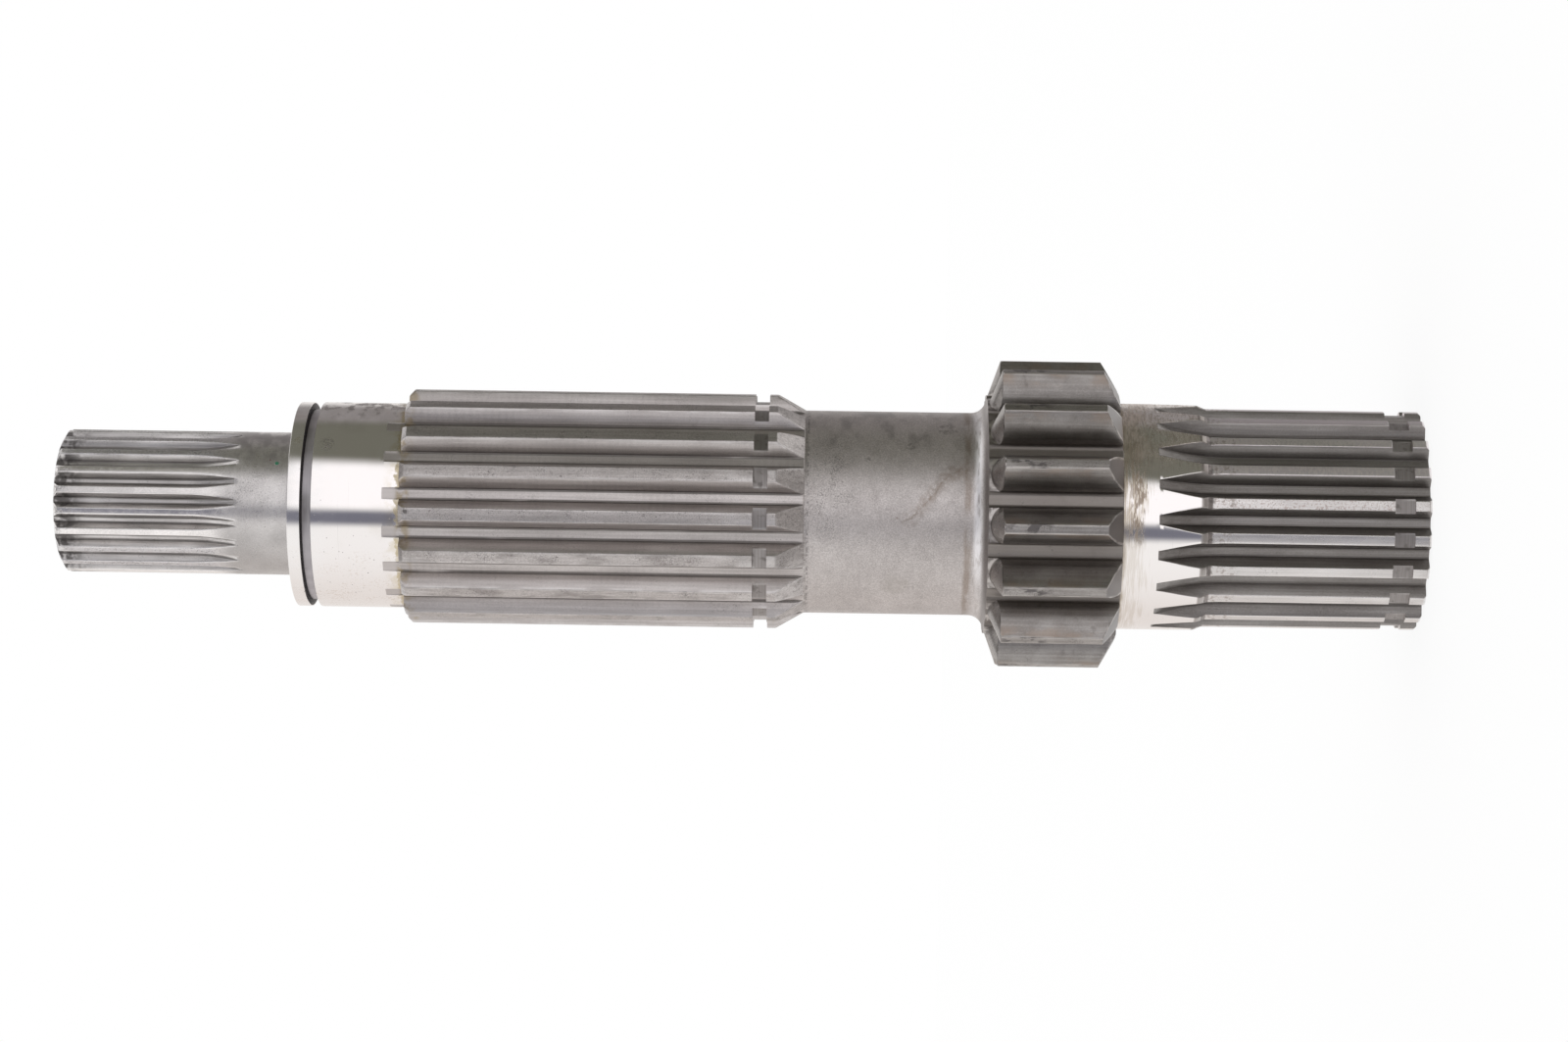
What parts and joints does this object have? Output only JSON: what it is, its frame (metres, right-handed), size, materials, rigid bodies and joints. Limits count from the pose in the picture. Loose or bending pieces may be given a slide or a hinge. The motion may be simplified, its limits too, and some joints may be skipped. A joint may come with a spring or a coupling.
{
  "type": "splined pinion shaft",
  "caption": "One-piece machined steel transmission shaft with a pinion gear, three involute splines, two ground bearing journals and retaining ring grooves.",
  "frame": {"origin": "centre of the lower end face, which is the end of the large 20 tooth spline", "axes": "+Z along the shaft's axis, from the large spline's end up to the small spline's end"},
  "size_m": [0.0745, 0.0748, 0.33],
  "materials": {
    "shaft_steel": "satin, ground on the journals"
  },
  "bodies": {
    "root": {"splined_shaft": "shaft_steel"}
  },
  "joints": []
}
